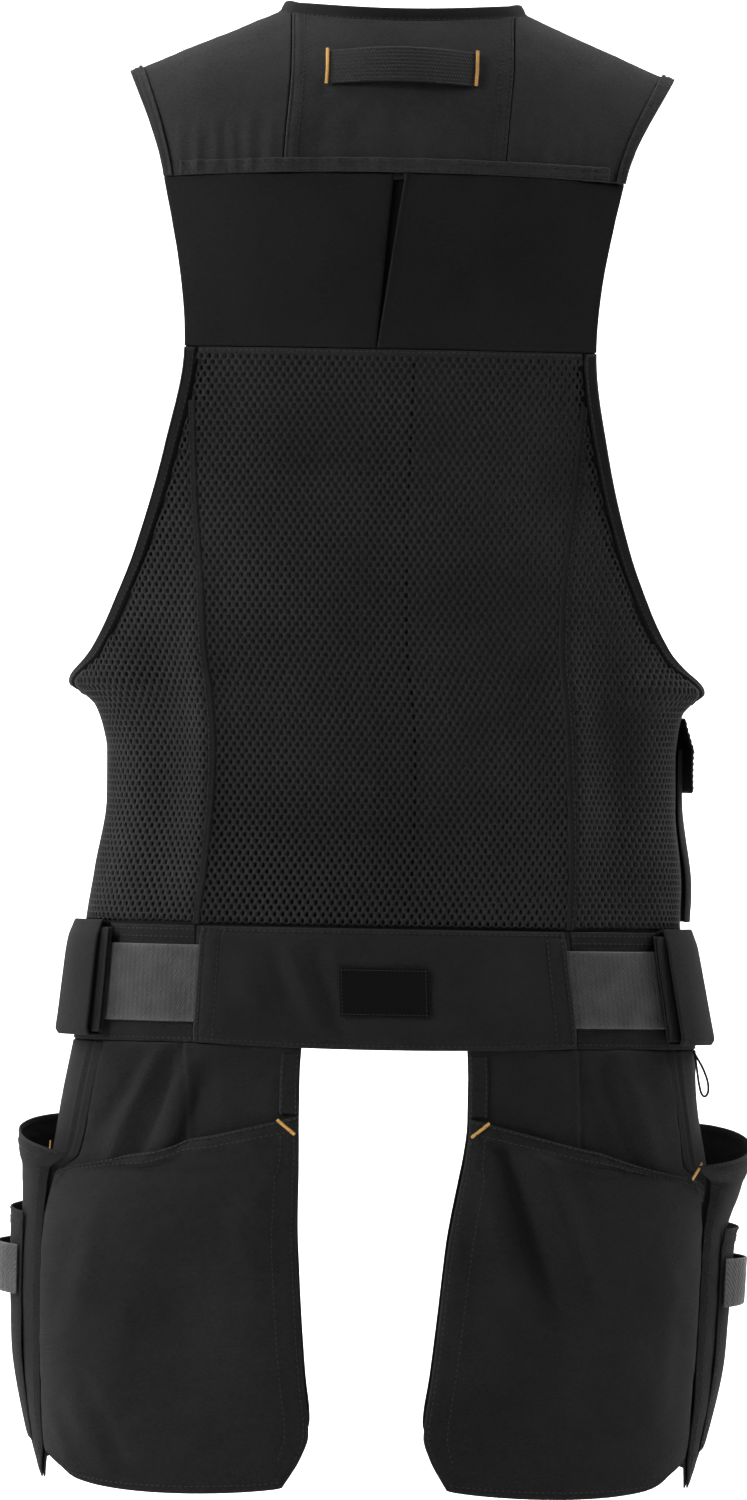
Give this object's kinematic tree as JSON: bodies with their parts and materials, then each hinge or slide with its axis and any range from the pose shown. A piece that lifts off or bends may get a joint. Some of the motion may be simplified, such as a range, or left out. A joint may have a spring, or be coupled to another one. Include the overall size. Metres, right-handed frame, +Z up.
{
  "type": "utility work vest",
  "caption": "Sleeveless canvas and net work vest with hip holster pockets, a webbing belt, a hang loop and a stretch back, in the shape that it has when worn",
  "frame": {"origin": "The shoulder seat: midway between the inner ends of the shoulders, at their height, where the vest rests on its wearer", "axes": "X to the wearer's right, which is the picture's right, Y to the wearer's front, Z up"},
  "size_m": [0.4902, 0.2433, 0.9676],
  "materials": {
    "yoke_canvas": "plain-weave polyamide canvas, matt, lighter than the rest where the light meets it",
    "canvas": "plain-weave polyamide canvas, matt, softly creased",
    "canvas_hem": "folded and stitched canvas edge",
    "stretch_cloth": "dense matt stretch weave",
    "net": "knitted net with small open holes in staggered rows",
    "binding": "narrow folded binding tape",
    "webbing": "ribbed woven strap, a little shiny",
    "bartack_thread": "dense golden stitches",
    "patch_cloth": "smooth woven patch",
    "zip_tape": "moulded zip, closed",
    "buckle_plastic": "fine matt moulding",
    "cord": "thin braided cord"
  },
  "bodies": {
    "root": {"yoke_centre": "yoke_canvas", "yoke_shoulder_left": "yoke_canvas", "yoke_shoulder_right": "yoke_canvas", "shoulder_hem_left": "canvas_hem", "shoulder_hem_right": "canvas_hem", "yoke_hem_band": "canvas_hem", "hip_edge_strip_left": "canvas_hem", "hip_edge_strip_right": "canvas_hem", "belt_tab_flap_left": "canvas_hem", "belt_tab_flap_right": "canvas_hem", "hang_loop": "webbing", "webbing_left": "webbing", "webbing_right": "webbing", "tool_loop_left": "webbing", "tool_loop_right": "webbing", "hang_loop_tack_left": "bartack_thread", "hang_loop_tack_right": "bartack_thread", "holster_tack_left": "bartack_thread", "holster_tack_right": "bartack_thread", "stretch_panel_left": "stretch_cloth", "stretch_panel_right": "stretch_cloth", "pleat_underlay": "stretch_cloth", "armhole_binding_left": "binding", "armhole_binding_right": "binding", "neck_band": "binding", "back_net": "net", "side_net_left": "net", "side_net_right": "net", "front_panel_left": "canvas", "front_panel_right": "canvas", "waistband_back": "canvas", "waistband_left": "canvas", "waistband_right": "canvas", "back_belt_panel": "canvas", "belt_tab_left": "canvas", "belt_tab_right": "canvas", "hip_back_panel_left": "canvas", "hip_back_panel_right": "canvas", "hip_side_panel_left": "canvas", "hip_side_panel_right": "canvas", "back_holster_left": "canvas", "back_holster_right": "canvas", "side_holster_left": "canvas", "side_holster_right": "canvas", "side_pocket_left": "canvas", "side_pocket_right": "canvas", "chest_pocket": "canvas", "chest_pocket_flap": "canvas", "belt_patch": "patch_cloth", "front_zip": "zip_tape", "belt_buckle": "buckle_plastic", "pull_cord": "cord"}
  },
  "joints": []
}
